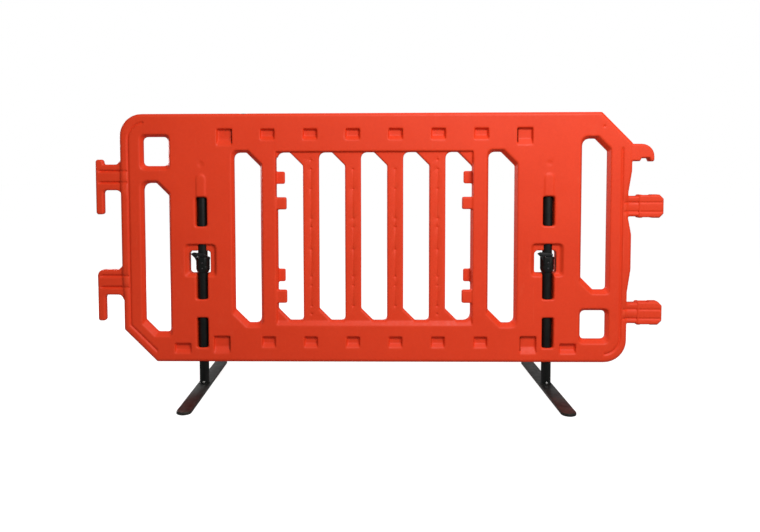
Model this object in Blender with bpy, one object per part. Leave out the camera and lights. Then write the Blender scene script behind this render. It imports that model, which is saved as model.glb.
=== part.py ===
"""Water-filled pedestrian barricade: a hollow moulded panel carried by two folding steel legs.

Units are metres.  +X runs along the panel, -Y is its front, +Z is up.  The floor is Z = 0 and the
origin is the centre of the footprint.  Plan dimensions below are measured from the panel's own
centre line, which lies midway between the two legs; AXIS shifts them into the frame.
"""
import math

import bmesh
import bpy
from mathutils import Matrix, Vector

# ---------------------------------------------------------------- driving dimensions
HEIGHT = 1.000            # floor to the panel's top edge
LEFT_END = -1.0145        # outer face of the hooks
RIGHT_END = 1.039         # end of the socket tabs
AXIS = -(LEFT_END + RIGHT_END) / 2

PANEL_BOTTOM = 0.0945
PANEL_LEFT = -0.9215
PANEL_RIGHT = 0.9245
THICK = 0.050             # outer thickness of the moulding
FACE = THICK / 2
CORNER_ROUND = 0.080      # top-left and bottom-right corners
TOP_CUT = 0.110           # the top-right corner, cut at 45 degrees
BOTTOM_CUT = 0.119        # the bottom-left corner, cut at 45 degrees
TAB_RELIEF = 0.012        # how far the right edge steps back at the tabs
THROAT = 0.007            # half depth of the straight throat inside each hole and slot
MOUTH = (0.009, 0.016, 0.010)     # how far a slot opens out at its sides, foot and head

HOLE_X = (0.748, 0.840)   # square holes and outer slots, inner and outer edge
SLOT_X = (0.413, 0.508)   # inner slots
OUTER_SLOT_Z = {"left": (0.203, 0.750), "right": (0.359, 0.905)}
HOLE_Z = {"left": (0.812, 0.917), "right": (0.178, 0.283)}
INNER_SLOT_Z = (0.237, 0.859)
FIELD_X = 0.350           # half width of the slatted field
FIELD_Z = (0.246, 0.859)
FIELD_LIP_Z = (0.229, 0.863)
SLAT_PITCH = 0.1526
SLAT_WIDTH = 0.0586
SLAT_FACE = 0.015         # the slats are thinner than the frame

POST_X = 0.628
POST_RADIUS = 0.0175
POST_WALL = 0.0025
POST_TOP = 0.775
BORE_RADIUS = 0.0182
BORE_TOP = 0.781
POST_SIDES = 24

FOOT_WIDTH = 0.050
FOOT_THICK = 0.010
FOOT_HALF = 0.360         # from the post's axis to the foot's tip

WINDOW_X = (-0.048, 0.030)        # latch window, from the post's axis
WINDOW_Z = (0.420, 0.502)
COLLAR_RADIUS = 0.0235
COLLAR_Z = (0.423, 0.479)
COLLAR_FLAT = -0.0215             # the rivets' seat on the collar's front
COLLAR_RIVET_Z = (0.457, 0.437)
LEVER_PIVOT = (0.0100, 0.4870)    # X from the post's axis, Z
LEVER_Y = (-0.0242, -0.0192)
SPRING_X = -0.0105

TAB_Z = ((0.620, 0.704), (0.232, 0.3175))
SOCKET_X = (0.962, 0.996)
SOCKET_HALF = 0.017
PIN_HALF = 0.015                  # half thickness of the hooks
PIN_X = (LEFT_END, -0.987)

BLOW_PIN = (0.822, 0.949)         # where the moulding was blown, X and Z
FILL_X = -0.471
FILL_RADIUS = 0.0185
DRAIN_X = -0.471
DRAIN_Z = 0.152
DRAIN_RADIUS = 0.0160

WALL = 0.0045
GAP = 0.0003

# ---------------------------------------------------------------- outlines in the XZ plane


def arc(cx, cz, radius, start, end, steps):
    """Points on an arc, angles in degrees."""
    points = []
    for i in range(steps + 1):
        angle = math.radians(start + (end - start) * i / steps)
        points.append((cx + radius * math.cos(angle), cz + radius * math.sin(angle)))
    return points


def corner(x, z, sx, sz, size, steps=5):
    """One corner of an outline at (x, z), anticlockwise.  A positive size rounds it, a negative
    size cuts it at 45 degrees.  (sx, sz) point outwards."""
    start = {(-1, -1): 180, (1, -1): 270, (1, 1): 0, (-1, 1): 90}[(sx, sz)]
    reach = abs(size)
    steps = steps if size > 0 else 1
    return arc(x - sx * reach, z - sz * reach, reach, start, start + 90, steps)


def outline(x0, x1, z0, z1, bl, br, tr, tl, steps=5):
    """A rectangle with four treated corners, anticlockwise as seen from the front."""
    points = corner(x0, z0, -1, -1, bl, steps)
    points += corner(x1, z0, 1, -1, br, steps)
    points += corner(x1, z1, 1, 1, tr, steps)
    points += corner(x0, z1, -1, 1, tl, steps)
    return points


def offset(points, distance):
    """Grow an anticlockwise outline by a distance, with mitred corners."""
    grown = []
    for i, point in enumerate(points):
        here = Vector(point)
        before = here - Vector(points[i - 1])
        after = Vector(points[(i + 1) % len(points)]) - here
        n1 = Vector((before.y, -before.x)).normalized()
        n2 = Vector((after.y, -after.x)).normalized()
        grown.append(tuple(here + (n1 + n2) * (distance / max(1 + n1.dot(n2), 0.3))))
    return grown


# ---------------------------------------------------------------- solids


def solid_from(name, bm):
    bmesh.ops.recalc_face_normals(bm, faces=bm.faces)
    mesh = bpy.data.meshes.new(name)
    bm.to_mesh(mesh)
    bm.free()
    obj = bpy.data.objects.new(name, mesh)
    bpy.context.collection.objects.link(obj)
    return obj


def add_loft(bm, rings):
    """A closed skin through rings of equally many 3-D points."""
    loops = [[bm.verts.new(point) for point in ring] for ring in rings]
    count = len(loops[0])
    for lower, upper in zip(loops, loops[1:]):
        for i in range(count):
            j = (i + 1) % count
            bm.faces.new((lower[i], lower[j], upper[j], upper[i]))
    bm.faces.new(list(reversed(loops[0])))
    bm.faces.new(loops[-1])


def add_slab(bm, points, profile, shift=0.0):
    """An XZ outline carried through Y: profile is a list of (y, growth)."""
    rings = []
    for y, growth in profile:
        rings.append([(px + AXIS + shift, y, pz) for px, pz in offset(points, growth)])
    add_loft(bm, rings)


def add_box(bm, x0, x1, y0, y1, z0, z1):
    corners = ((x0, z0), (x1, z0), (x1, z1), (x0, z1))
    add_slab(bm, corners, ((y0, 0), (y1, 0)))


def add_turned(bm, profile, axis, centre, sides):
    """A solid of revolution: profile is a list of (distance along the axis, radius)."""
    rings = []
    for along, radius in profile:
        ring = []
        for i in range(sides):
            angle = 2 * math.pi * i / sides
            u, v = radius * math.cos(angle), radius * math.sin(angle)
            local = (u, v, along) if axis == "Z" else (u, along, v)
            ring.append((centre[0] + local[0], centre[1] + local[1], centre[2] + local[2]))
        rings.append(ring)
    add_loft(bm, rings)


def combine(target, tool, operation):
    """Apply one exact Boolean to the target and drop the tool."""
    modifier = target.modifiers.new("Cut", "BOOLEAN")
    modifier.operation = operation
    modifier.solver = "EXACT"
    modifier.object = tool
    bpy.context.view_layer.update()
    evaluated = target.evaluated_get(bpy.context.evaluated_depsgraph_get())
    mesh = bpy.data.meshes.new_from_object(evaluated)
    target.modifiers.clear()
    target.data = mesh
    bpy.data.objects.remove(tool)


def finish(obj, colour, roughness, metallic, pivot=None, sharp=35):
    """Give a solid its material, its shading and the place of its origin."""
    material = bpy.data.materials.new(obj.name)
    material.use_nodes = True
    shader = material.node_tree.nodes["Principled BSDF"]
    shader.inputs["Base Color"].default_value = (*colour, 1)
    shader.inputs["Roughness"].default_value = roughness
    shader.inputs["Metallic"].default_value = metallic
    material.diffuse_color = (*colour, 1)
    obj.data.materials.clear()
    obj.data.materials.append(material)
    if pivot:
        obj.data.transform(Matrix.Translation(-Vector(pivot)))
        obj.location = pivot
    obj.data.shade_smooth()
    obj.data.set_sharp_from_angle(angle=math.radians(sharp))
    return obj


# ---------------------------------------------------------------- the moulded panel

ROUND_OVER = ((-FACE, -0.009), (-0.0195, 0), (0.0195, 0), (FACE, -0.009))


def panel_outline():
    """The panel without its end fittings.  The right edge steps back at each tab."""
    step = PANEL_RIGHT - TAB_RELIEF
    points = corner(PANEL_LEFT + 0.005, PANEL_BOTTOM, -1, -1, -BOTTOM_CUT)
    points += corner(step, PANEL_BOTTOM, 1, -1, CORNER_ROUND, 8)
    points += [(step, 0.350), (PANEL_RIGHT, 0.435)]
    points += [(PANEL_RIGHT, 0.560), (step, 0.620), (step, 0.712), (PANEL_RIGHT, 0.790)]
    points += corner(PANEL_RIGHT, HEIGHT, 1, 1, -TOP_CUT)
    points += corner(PANEL_LEFT, HEIGHT, -1, 1, CORNER_ROUND, 8)
    points += [(PANEL_LEFT, 0.440), (PANEL_LEFT + 0.005, 0.340)]
    return points


def hook_outline(pin_bottom, arm_bottom, arm_top, nub_top):
    """A T-bar hook: a vertical pin carried off the panel's left edge by a short arm."""
    x0, x1 = PIN_X
    root = PANEL_LEFT + 0.012
    points = [(x0, pin_bottom + 0.006), (x0 + 0.005, pin_bottom), (x1 - 0.005, pin_bottom)]
    points += [(x1, pin_bottom + 0.006)]
    points += arc(x1 + 0.010, arm_bottom - 0.010, 0.010, 180, 90, 3)
    points += arc(PANEL_LEFT - 0.018, arm_bottom - 0.018, 0.018, 90, 0, 3)
    points += [(root, arm_bottom - 0.018), (root, arm_top + 0.016), (PANEL_LEFT, arm_top + 0.016)]
    points += [(PANEL_LEFT - 0.016, arm_top)]
    if nub_top > arm_top:
        points += [(x1 + 0.002, arm_top), (x1 - 0.001, nub_top - 0.005)]
        points += [(x1 - 0.006, nub_top), (x0 + 0.006, nub_top), (x0, nub_top - 0.006)]
    else:
        points += arc(x0 + 0.022, arm_top - 0.022, 0.022, 90, 180, 4)
    return points


def beak_outline():
    """The nose over the upper socket, with the bite that holds the neighbour's pin down."""
    root = PANEL_RIGHT - 0.012
    points = [(root, 0.8235), (0.952, 0.8235), (0.957, 0.834), (0.984, 0.834), (0.988, 0.8225)]
    points += [(0.999, 0.8225), (1.003, 0.828)]
    points += arc(0.958, 0.841, 0.045, 0, 90, 6)
    points += [(root, 0.886)]
    return points


SLIM = ((-1, -0.0045), (-0.72, 0), (0.72, 0), (1, -0.0045))


def slab_of(half):
    return [(part * half, growth) for part, growth in SLIM]


def end_fittings():
    """Hooks, tab necks and the beak, as one operand of bodies that don't meet."""
    bm = bmesh.new()
    add_slab(bm, hook_outline(0.636, 0.724, 0.818, 0.836), slab_of(PIN_HALF))
    add_slab(bm, hook_outline(0.244, 0.340, 0.433, 0.433), slab_of(PIN_HALF))
    add_slab(bm, beak_outline(), slab_of(0.0235))
    for z0, z1 in TAB_Z:
        root = PANEL_RIGHT - TAB_RELIEF - 0.012
        neck = outline(root, 0.962, z0 + 0.005, z1 - 0.005, -0.003, -0.003, -0.003, -0.003)
        add_slab(bm, neck, slab_of(0.0195))
    return solid_from("end_fittings", bm)


def tab_heads():
    bm = bmesh.new()
    for z0, z1 in TAB_Z:
        head = outline(0.948, RIGHT_END, z0, z1, -0.003, -0.015, -0.015, -0.003)
        add_slab(bm, head, slab_of(0.0225))
    return solid_from("tab_heads", bm)


def post_ridges():
    """Rounded swellings on both faces over the top end of each post."""
    bm = bmesh.new()
    for side in (-1, 1):
        x = side * POST_X
        shape = outline(x - 0.020, x + 0.020, 0.690, 0.785, 0.010, 0.010, 0.018, 0.018, 2)
        add_slab(bm, shape, ((-0.0285, -0.007), (-0.0245, 0), (0.0245, 0), (0.0285, -0.007)))
    return solid_from("post_ridges", bm)


def flared(bm, x0, x1, z0, z1, corners, face=FACE, throat=THROAT, mouth=MOUTH):
    """A cutter through the panel that opens out from its throat towards both faces."""
    side, foot, head = mouth
    inner = outline(x0, x1, z0, z1, *corners, 3)
    outer = outline(x0 - side, x1 + side, z0 - foot, z1 + head, *corners, 3)
    over = 0.002
    grow = 1 + over / (face - throat)
    rings = []
    for y, part in ((-face - over, grow), (-throat, 0), (throat, 0), (face + over, grow)):
        ring = []
        for (xa, za), (xb, zb) in zip(inner, outer):
            ring.append((xa + (xb - xa) * part + AXIS, y, za + (zb - za) * part))
        rings.append(ring)
    add_loft(bm, rings)


def through_cuts():
    """Holes, slots and slat gaps that pass right through the panel.  Every slot has its cut
    corners at the top right and the bottom left."""
    bm = bmesh.new()
    for side, sign in (("left", -1), ("right", 1)):
        inner, outer = sorted((sign * HOLE_X[0], sign * HOLE_X[1]))
        flared(bm, inner, outer, *HOLE_Z[side], (0.015,) * 4)
        flared(bm, inner, outer, *OUTER_SLOT_Z[side], (-0.045, 0.012, -0.045, 0.024))
        inner, outer = sorted((sign * SLOT_X[0], sign * SLOT_X[1]))
        flared(bm, inner, outer, *INNER_SLOT_Z, (-0.050, 0.020, -0.050, 0.020))
    edges = [-FIELD_X]
    for i in range(4):
        middle = (i - 1.5) * SLAT_PITCH
        edges += [middle - SLAT_WIDTH / 2, middle + SLAT_WIDTH / 2]
    edges.append(FIELD_X)
    for left, right in zip(edges[0::2], edges[1::2]):
        foot = 0.024 if right == FIELD_X else 0.013
        flared(bm, left, right, *FIELD_Z, (-0.043, foot, -0.047, 0.020), SLAT_FACE, 0.010,
               (0.0025, 0.004, 0.0))
    return solid_from("through_cuts", bm)


def field_recesses():
    """The slats stand back from both faces, with a sloping sill below and a short brow above."""
    bm = bmesh.new()
    half = FIELD_X + 0.006
    lip = ((-half, FIELD_LIP_Z[0]), (half, FIELD_LIP_Z[0]), (half, FIELD_LIP_Z[1]),
           (-half, FIELD_LIP_Z[1]))
    inner = ((-half + 0.002, FIELD_Z[0]), (half - 0.002, FIELD_Z[0]),
             (half - 0.002, FIELD_Z[1] + 0.002), (-half + 0.002, FIELD_Z[1] + 0.002))
    for side in (-1, 1):
        rings = []
        for y, ring in ((FACE + 0.002, lip), (FACE, lip), (SLAT_FACE, inner)):
            rings.append([(x + AXIS, side * y, z) for x, z in ring])
        add_loft(bm, rings)
    return solid_from("field_recesses", bm)


def field_shoulders():
    """The field's sides stand a little further apart above the sign clips."""
    bm = bmesh.new()
    near, far = FIELD_X - 0.0005, FIELD_X + 0.0060
    for side in (-1, 1):
        top = 0.838 if side < 0 else 0.806
        ring = [(side * near, 0.640), (side * far, 0.700), (side * far, top), (side * near, top + 0.006)]
        add_slab(bm, ring if side > 0 else list(reversed(ring)), ((-0.027, 0), (0.027, 0)))
    return solid_from("field_shoulders", bm)


def pocket_places():
    """(centre, width, low, high) of each moulded pocket in the rails."""
    places = []
    for side in (-1, 1):
        for x in (0.077, 0.231, 0.385):
            places.append((side * x, 0.052, 0.901, 0.945))
            places.append((side * x, 0.050, 0.145, 0.189))
        places.append((side * 0.5405, 0.057, 0.880, 0.946))
        places.append((side * 0.5575, 0.061, 0.122, 0.191))
        places.append((side * 0.7005, 0.061, 0.123, 0.164))
    return places


def rail_pockets():
    """Kiss-off pockets: steep brow, ramped floor, on both faces."""
    bm = bmesh.new()
    depth = 0.0140
    for x, width, low, high in pocket_places():
        half = width / 2
        mouth = ((x - half, low), (x + half, low), (x + half, high), (x - half, high))
        half -= 0.003
        ramp = low + (high - low) * 0.40
        floor = ((x - half, ramp), (x + half, ramp), (x + half, high - 0.003),
                 (x - half, high - 0.003))
        for side in (-1, 1):
            rings = []
            for y, ring in ((FACE + 0.0015, mouth), (FACE - depth, floor)):
                rings.append([(px + AXIS, side * y, pz) for px, pz in ring])
            add_loft(bm, rings)
    return solid_from("rail_pockets", bm)


def post_bores():
    bm = bmesh.new()
    for side in (-1, 1):
        x = side * POST_X + AXIS
        profile = ((PANEL_BOTTOM - 0.01, BORE_RADIUS), (BORE_TOP - 0.004, BORE_RADIUS),
                   (BORE_TOP, BORE_RADIUS - 0.004))
        add_turned(bm, profile, "Z", (x, 0, 0), 32)
    return solid_from("post_bores", bm)


FRONT_SLOTS = ((0.148, 0.257), (0.326, 0.430), (0.593, 0.697))
REAR_SLOTS = ((0.257, 0.326), (0.513, 0.593))


def channel_slots():
    """Openings along the post's channel, on the front and on the rear by turns."""
    bm = bmesh.new()
    for side in (-1, 1):
        x = side * POST_X
        for rows, face in ((FRONT_SLOTS, -1), (REAR_SLOTS, 1)):
            for low, high in rows:
                shape = outline(x - 0.0200, x + 0.0200, low, high, *(-0.003,) * 4)
                add_slab(bm, shape, ((-face * 0.003, 0), (face * 0.018, 0), (face * 0.030, 0.006)))
    return solid_from("channel_slots", bm)


def latch_windows():
    bm = bmesh.new()
    for side in (-1, 1):
        x = side * POST_X
        left, right = x + WINDOW_X[0], x + WINDOW_X[1]
        shape = outline(left, right, *WINDOW_Z, -0.006, -0.006, -0.006, -0.008)
        add_slab(bm, shape, ((-0.027, 0), (0.027, 0)))
    return solid_from("latch_windows", bm)


def latch_recesses():
    """The ramped recess in front of each latch window, which leaves room for a thumb."""
    bm = bmesh.new()
    for side in (-1, 1):
        x = side * POST_X
        mouth = outline(x - 0.065, x + 0.057, 0.406, 0.529, 0.010, 0.010, 0.016, 0.014, 2)
        floor = outline(x - 0.052, x + 0.044, 0.419, 0.5245, 0.008, 0.008, 0.012, 0.010, 2)
        rings = []
        for y, ring in ((-0.027, mouth), (-0.0125, floor)):
            rings.append([(px + AXIS, y, pz) for px, pz in ring])
        add_loft(bm, rings)
    return solid_from("latch_recesses", bm)


def add_groove(bm, path, half_width, depth, side, face=FACE):
    """A V groove cut along a path on one face."""
    rings = []
    last = len(path) - 1
    for i, point in enumerate(path):
        here = Vector(point)
        ahead = Vector(path[min(i + 1, last)]) - Vector(path[max(i - 1, 0)])
        across = Vector((ahead.y, -ahead.x)).normalized()
        high = across * half_width * 1.2
        ring = ((here + high, face + depth * 0.2), (here, face - depth), (here - high, face + depth * 0.2))
        rings.append([(p.x + AXIS, side * y, p.y) for p, y in ring])
    add_loft(bm, rings)


def groove_paths():
    """The two channels that follow the panel's edge, at the left and at the right."""
    inset = 0.031
    x0, x1 = PANEL_LEFT + inset, PANEL_RIGHT - inset - 0.007
    z0, z1 = PANEL_BOTTOM + inset, HEIGHT - inset
    reach = CORNER_ROUND - inset * 0.6
    cut = BOTTOM_CUT - inset * 0.4
    left = arc(x0 + reach, z1 - reach, reach, 95, 180, 5)
    left += [(x0, z0 + cut), (x0 + cut * 0.9, z0 + cut * 0.1)]
    right = [(x1, 0.870)] + arc(x1 - reach, z0 + reach, reach, 0, -85, 5)
    return left, right


def edge_grooves():
    bm = bmesh.new()
    for path in groove_paths():
        for side in (-1, 1):
            add_groove(bm, path, 0.0055, 0.0030, side)
    for z0, z1 in TAB_Z:
        for part in (0.27, 0.66):
            z = z0 + (z1 - z0) * part
            for side in (-1, 1):
                add_groove(bm, [(0.954, z), (RIGHT_END + 0.004, z)], 0.0045, 0.0026, side, 0.0225)
    for low, high in ((0.724, 0.818), (0.340, 0.433)):
        for part in (0.30, 0.74):
            z = low + (high - low) * part
            for side in (-1, 1):
                add_groove(bm, [(PIN_X[0] + 0.010, z), (PANEL_LEFT - 0.004, z)], 0.0058, 0.0042,
                           side, PIN_HALF)
    return solid_from("edge_grooves", bm)


def tab_sockets():
    bm = bmesh.new()
    for z0, z1 in TAB_Z:
        add_box(bm, *SOCKET_X, -SOCKET_HALF, SOCKET_HALF, z0 - 0.01, z1 + 0.01)
    return solid_from("tab_sockets", bm)


def side_nubs():
    """Clips for a sign board: short ones at the rear, long ones at the front, by turns."""
    bm = bmesh.new()
    rows = ((0.745, 0.791, 0.026, 1), (0.652, 0.698, 0.033, -1),
            (0.387, 0.435, 0.026, 1), (0.310, 0.360, 0.033, -1))
    for side in (-1, 1):
        for low, high, reach, face in rows:
            inner, root = FIELD_X - reach, FIELD_X + 0.012
            x0, x1 = (inner, root) if side > 0 else (-root, -inner)
            shape = outline(x0, x1, low, high, *(-0.004,) * 4)
            add_slab(bm, shape, ((face * 0.003, 0), (face * 0.0215, -0.002)))
    return solid_from("side_nubs", bm)


def hollow_boxes():
    """The inside of the double wall, as (x0, x1, z0, z1, half depth), clear of every opening."""
    deep = FACE - WALL
    rail = deep - 0.004
    boxes = [(-0.866, 0.813, 0.953, HEIGHT - 0.0105, rail),
             (-0.790, 0.850, PANEL_BOTTOM + 0.0085, 0.117, rail),
             (-0.362, 0.362, 0.868, 0.8975, deep), (-0.362, 0.362, 0.1925, 0.2245, deep),
             (-0.902, -0.854, 0.225, 0.965, 0.0180), (0.854, 0.898, 0.150, 0.870, 0.0180),
             (0.790, 0.862, PANEL_BOTTOM + 0.0085, 0.165, rail),
             (0.800, 0.832, 0.922, 0.957, rail)]
    for side in (-1, 1):
        spans = (((0.108, 0.204), (0.875, 0.960), deep - 0.001),
                 ((0.108, 0.204), (0.112, 0.200), deep - 0.001),
                 ((0.361, 0.400), (0.196, 0.894), 0.012),
                 ((0.420, 0.5165), (0.8695, 0.962), deep - 0.001),
                 ((0.500, 0.560), (0.8690, 0.8750), 0.015),
                 ((0.5195, 0.560), (0.200, 0.873), 0.014),
                 ((0.420, 0.530), (0.110, 0.212), deep - 0.001),
                 ((0.694, 0.734), (0.171, 0.964), 0.0125))
        for (near, far), (low, high), half in spans:
            x0, x1 = sorted((side * near, side * far))
            boxes.append((x0, x1, low, high, half))
    for i in range(4):
        middle = (i - 1.5) * SLAT_PITCH
        boxes.append((middle - 0.019, middle + 0.019, 0.212, 0.885, SLAT_FACE - WALL))
    return boxes


def build_panel():
    bm = bmesh.new()
    add_slab(bm, panel_outline(), ROUND_OVER)
    panel = solid_from("panel", bm)
    for tool in (end_fittings(), tab_heads(), post_ridges()):
        combine(panel, tool, "UNION")
    cuts = (through_cuts, field_shoulders, field_recesses, rail_pockets, channel_slots, latch_recesses,
            latch_windows, post_bores, tab_sockets, edge_grooves)
    for make in cuts:
        combine(panel, make(), "DIFFERENCE")
    combine(panel, side_nubs(), "UNION")
    hollow = None
    for i, (x0, x1, z0, z1, half) in enumerate(hollow_boxes()):
        bm = bmesh.new()
        add_box(bm, x0, x1, -half, half, z0, z1)
        box = solid_from("hollow", bm)
        if hollow is None:
            hollow = box
        else:
            combine(hollow, box, "UNION")
    combine(panel, hollow, "DIFFERENCE")
    ports = bmesh.new()
    fill = (FILL_X + AXIS, 0, HEIGHT)
    add_turned(ports, ((-0.040, 0.0135), (-0.0055, 0.0135)), "Z", fill, 24)
    drain = (DRAIN_X + AXIS, FACE, DRAIN_Z)
    add_turned(ports, ((-0.020, 0.0105), (-0.0045, 0.0105)), "Y", drain, 24)
    add_turned(ports, ((-0.020, 0.004), (0.004, 0.004)), "Y", (BLOW_PIN[0] + AXIS, -FACE, BLOW_PIN[1]), 12)
    combine(panel, solid_from("ports", ports), "DIFFERENCE")
    seats = bmesh.new()
    add_turned(seats, ((-0.0060, FILL_RADIUS), (0.004, FILL_RADIUS)), "Z", fill, 24)
    add_turned(seats, ((-0.0050, DRAIN_RADIUS), (0.004, DRAIN_RADIUS)), "Y", drain, 24)
    combine(panel, solid_from("seats", seats), "DIFFERENCE")
    return finish(panel, (0.72, 0.045, 0.018), 0.42, 0.0)


# ---------------------------------------------------------------- ports


def build_ports():
    fill = (FILL_X + AXIS, 0, HEIGHT)
    bm = bmesh.new()
    add_turned(bm, ((-0.0260, 0.0120), (-0.0041, 0.0122), (-0.0040, FILL_RADIUS - 0.0006),
                    (-0.0012, FILL_RADIUS - 0.0006), (-0.0004, FILL_RADIUS - 0.0014)),
               "Z", (0, 0, 0), 24)
    cap = solid_from("fill_cap", bm)
    cap.data.transform(Matrix.Translation(fill))
    bm = bmesh.new()
    add_box(bm, FILL_X - 0.011, FILL_X + 0.011, -0.0022, 0.0022, HEIGHT - 0.0026, HEIGHT + 0.002)
    combine(cap, solid_from("coin_slot", bm), "DIFFERENCE")
    finish(cap, (0.03, 0.03, 0.03), 0.5, 0.0, fill)
    bm = bmesh.new()
    add_turned(bm, ((-0.0057, 0.0175), (-0.0044, 0.0175)), "Z", fill, 24)
    seal = solid_from("fill_cap_seal", bm)
    bm = bmesh.new()
    add_turned(bm, ((-0.010, 0.0139), (-0.001, 0.0139)), "Z", fill, 24)
    combine(seal, solid_from("bore", bm), "DIFFERENCE")
    finish(seal, (0.02, 0.02, 0.02), 0.75, 0.0)

    drain = (DRAIN_X + AXIS, FACE, DRAIN_Z)
    bm = bmesh.new()
    add_turned(bm, ((-0.0150, 0.0090), (-0.0030, 0.0092), (-0.0028, DRAIN_RADIUS - 0.0006),
                    (0.0024, DRAIN_RADIUS - 0.0012), (0.0034, DRAIN_RADIUS - 0.0030)),
               "Y", (0, 0, 0), 24)
    plug = solid_from("drain_plug", bm)
    plug.data.transform(Matrix.Translation(drain))
    bm = bmesh.new()
    add_box(bm, DRAIN_X - 0.009, DRAIN_X + 0.009, FACE + 0.0008, FACE + 0.006,
            DRAIN_Z - 0.0016, DRAIN_Z + 0.0016)
    combine(plug, solid_from("coin_slot", bm), "DIFFERENCE")
    finish(plug, (0.03, 0.03, 0.03), 0.5, 0.0, drain)
    bm = bmesh.new()
    add_turned(bm, ((-0.0047, 0.0150), (-0.0031, 0.0150)), "Y", drain, 24)
    seal = solid_from("drain_plug_seal", bm)
    bm = bmesh.new()
    add_turned(bm, ((-0.006, 0.0109), (-0.001, 0.0109)), "Y", drain, 24)
    combine(seal, solid_from("bore", bm), "DIFFERENCE")
    finish(seal, (0.02, 0.02, 0.02), 0.75, 0.0)


# ---------------------------------------------------------------- one leg

STEEL = (0.022, 0.022, 0.024)
BRIGHT = (0.45, 0.45, 0.46)
FOOT_RIVET_Z = 0.0170
FOOT_RIVET_HOLE = 0.0029


def rivet_holes(name, x, heights, radius):
    bm = bmesh.new()
    for z in heights:
        add_turned(bm, ((-0.030, radius), (-0.0065, radius)), "Y", (x, 0, z), 12)
    return solid_from(name, bm)


def build_post(tag, x):
    base = FOOT_THICK + GAP
    bm = bmesh.new()
    add_turned(bm, ((base, POST_RADIUS), (POST_TOP, POST_RADIUS)), "Z", (x, 0, 0), POST_SIDES)
    post = solid_from(tag + "_leg_post", bm)
    bm = bmesh.new()
    inner = POST_RADIUS - POST_WALL
    add_turned(bm, ((0, inner), (POST_TOP + 0.01, inner)), "Z", (x, 0, 0), POST_SIDES)
    combine(post, solid_from("bore", bm), "DIFFERENCE")
    combine(post, rivet_holes("holes", x, (FOOT_RIVET_Z,), FOOT_RIVET_HOLE), "DIFFERENCE")
    combine(post, rivet_holes("holes", x, COLLAR_RIVET_Z, 0.0028), "DIFFERENCE")
    finish(post, STEEL, 0.38, 0.6, (x, 0, 0))

    bm = bmesh.new()
    inner -= 0.0004
    add_turned(bm, ((POST_TOP - 0.014, inner - 0.001), (POST_TOP - 0.003, inner),
                    (POST_TOP + GAP, inner), (POST_TOP + GAP + 0.00005, POST_RADIUS - 0.0003),
                    (POST_TOP + 0.0025, POST_RADIUS - 0.0008), (POST_TOP + 0.004, 0.012)),
               "Z", (x, 0, 0), POST_SIDES)
    finish(solid_from(tag + "_post_cap", bm), (0.02, 0.02, 0.02), 0.6, 0.0, (x, 0, 0))


def build_foot(tag, x):
    """A flat bar under the post, lying on the floor, with rounded ends."""
    half = FOOT_WIDTH / 2
    stations = []
    for i in range(5):
        angle = math.radians(90 * i / 4)
        stations.append((FOOT_HALF - half + half * math.sin(angle), half * math.cos(angle)))
    stations[-1] = (FOOT_HALF, 0.004)
    stations = [(-y, w) for y, w in reversed(stations)] + stations
    edge = 0.0016
    bm = bmesh.new()
    rings = []
    top = FOOT_THICK
    for y, w in stations:
        rings.append([(x - w + edge, y, 0), (x + w - edge, y, 0), (x + w, y, edge),
                      (x + w, y, top - edge), (x + w - edge, y, top), (x - w + edge, y, top),
                      (x - w, y, top - edge), (x - w, y, edge)])
    add_loft(bm, rings)
    finish(solid_from(tag + "_foot_bar", bm), (0.035, 0.032, 0.030), 0.55, 0.4, (x, 0, 0))

    base = FOOT_THICK + GAP
    spigot_radius = POST_RADIUS - POST_WALL - 0.0005
    bm = bmesh.new()
    add_turned(bm, ((base, spigot_radius), (0.058, spigot_radius), (0.062, spigot_radius - 0.003)),
               "Z", (x, 0, 0), POST_SIDES)
    spigot = solid_from(tag + "_foot_spigot", bm)
    combine(spigot, rivet_holes("holes", x, (FOOT_RIVET_Z,), FOOT_RIVET_HOLE), "DIFFERENCE")
    finish(spigot, (0.05, 0.05, 0.05), 0.5, 0.7, (x, 0, 0))

    bm = bmesh.new()
    add_turned(bm, ((-0.0200, 0.0020), (-0.0192, 0.0035), (-0.0178, 0.0042),
                    (-0.0177, 0.0026), (-0.0072, 0.0026)), "Y", (x, 0, FOOT_RIVET_Z), 12)
    finish(solid_from(tag + "_foot_rivet", bm), BRIGHT, 0.3, 1.0, (x, 0, 0))


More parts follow.
